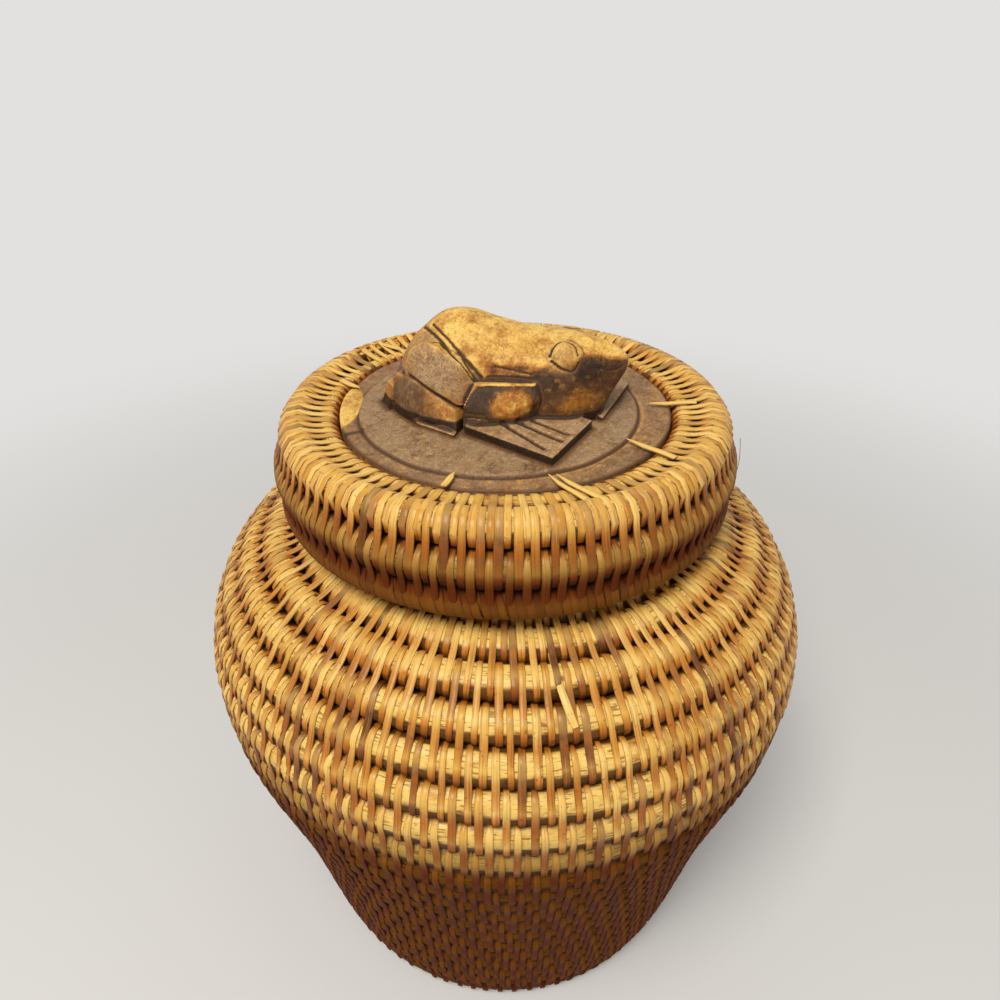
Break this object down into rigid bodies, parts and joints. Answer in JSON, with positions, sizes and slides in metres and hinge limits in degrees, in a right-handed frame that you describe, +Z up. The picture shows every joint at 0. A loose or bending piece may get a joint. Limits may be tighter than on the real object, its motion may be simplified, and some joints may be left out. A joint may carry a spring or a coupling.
{
  "type": "lidded rattan basket",
  "caption": "Coiled rattan jar basket with a lift-off lid whose carved wooden top bears a crouching frog.",
  "frame": {"origin": "on the floor, under the middle of the coiled base", "axes": "+Z up along the jar's axis; -Y towards the viewer of the picture, with the frog facing +X and a little to the front"},
  "size_m": [0.1784, 0.1785, 0.2151],
  "materials": {
    "basket_cane": "satin",
    "lid_cane": "satin",
    "binding": "satin",
    "carved_wood": "matte"
  },
  "bodies": {
    "basket": {"base_coil": "basket_cane", "lower_wall_coil": "basket_cane", "belly_coil": "basket_cane", "shoulder_coil": "basket_cane", "neck_coil": "basket_cane"},
    "lid": {"lid_rim_coil": "lid_cane", "lid_edge_cane": "lid_cane", "carved_wooden_top": "carved_wood", "binding_tail_1": "binding", "binding_tail_2": "binding", "binding_tail_3": "binding", "binding_tail_4": "binding", "binding_tail_5": "binding", "binding_tail_6": "binding"}
  },
  "joints": [
    {"name": "lid_lift", "type": "slide", "parent": "basket", "child": "lid", "axis": [0, 0, 1], "range_m": [0, 0.12]}
  ]
}
